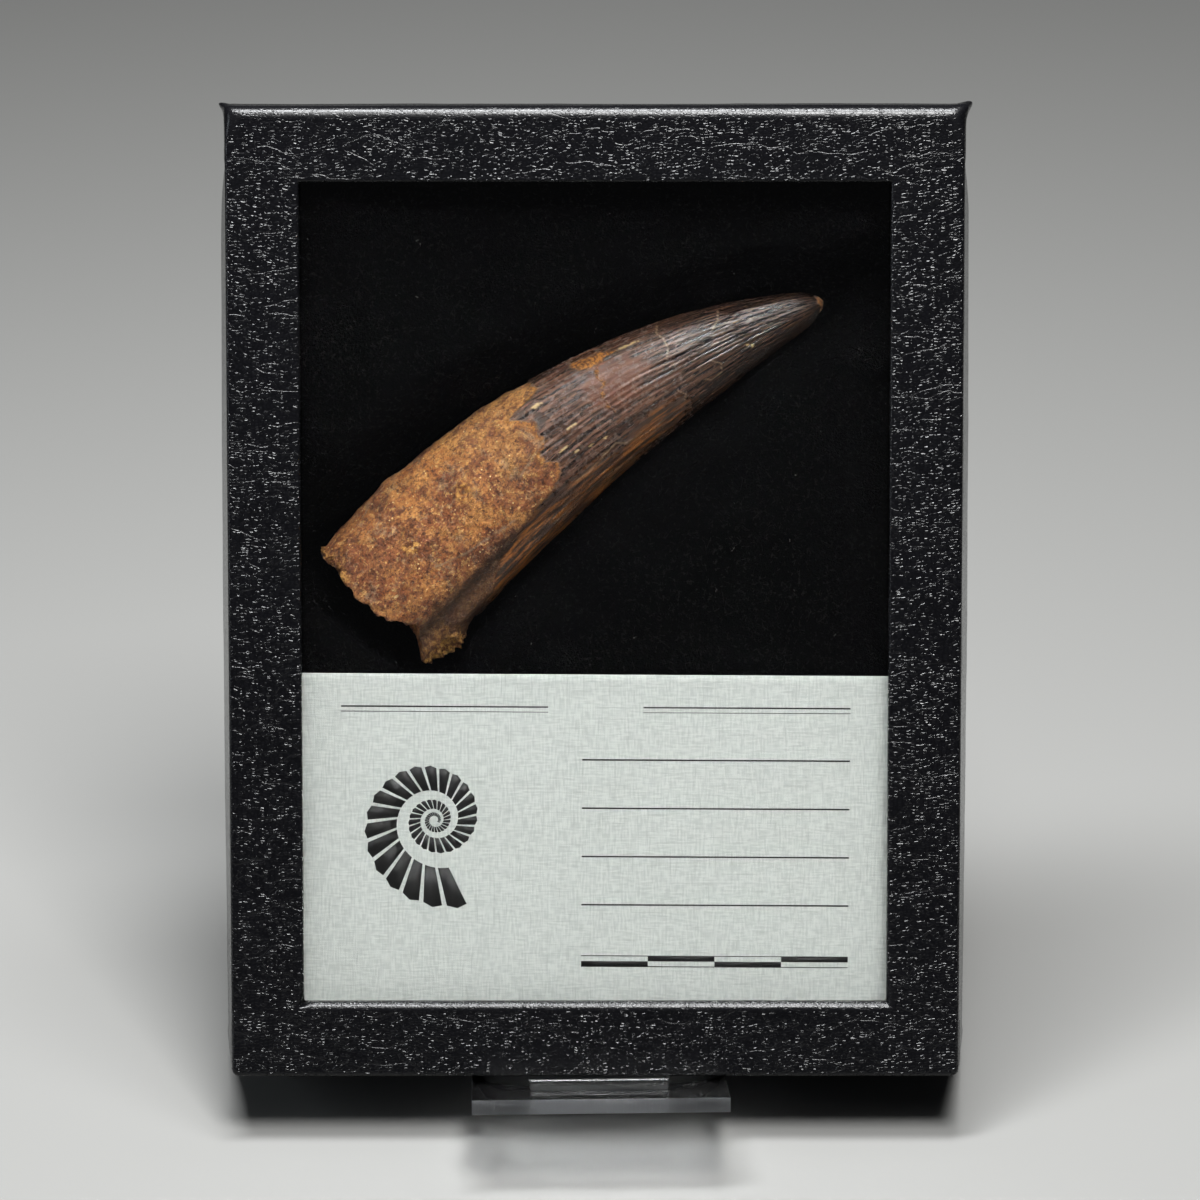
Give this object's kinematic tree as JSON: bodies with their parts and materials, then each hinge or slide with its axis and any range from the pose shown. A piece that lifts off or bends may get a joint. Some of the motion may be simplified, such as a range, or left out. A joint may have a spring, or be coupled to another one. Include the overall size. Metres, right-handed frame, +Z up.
{
  "type": "spinosaurus tooth in a display box",
  "caption": "Fossil spinosaurus tooth and a museum card without lettering, fixed on wadding in a glass-topped box that leans on a clear easel.",
  "frame": {"origin": "on the table, under the middle of the whole object's bounding box", "axes": "+Z up, -Y the way the box's window faces, +X to the right as seen from the front"},
  "size_m": [0.1134, 0.1, 0.1476],
  "materials": {
    "fossil": "granular tan and orange root, dark brown fluted enamel with a satin shine",
    "wadding": "matt black fibrous wadding",
    "linen_card": "pale grey-green card with an embossed linen grain",
    "clear_glass": "clear flat glass",
    "leatherette": "black leatherette paper, wrinkled grain, half gloss",
    "black_card": "matt black card",
    "clear_acrylic": "clear acrylic sheet with polished edges"
  },
  "bodies": {
    "root": {"tooth": "fossil", "padding": "wadding", "label_card": "linen_card", "window_glass": "clear_glass", "lid": "leatherette", "tray": "black_card", "easel_stand": "clear_acrylic"}
  },
  "joints": []
}
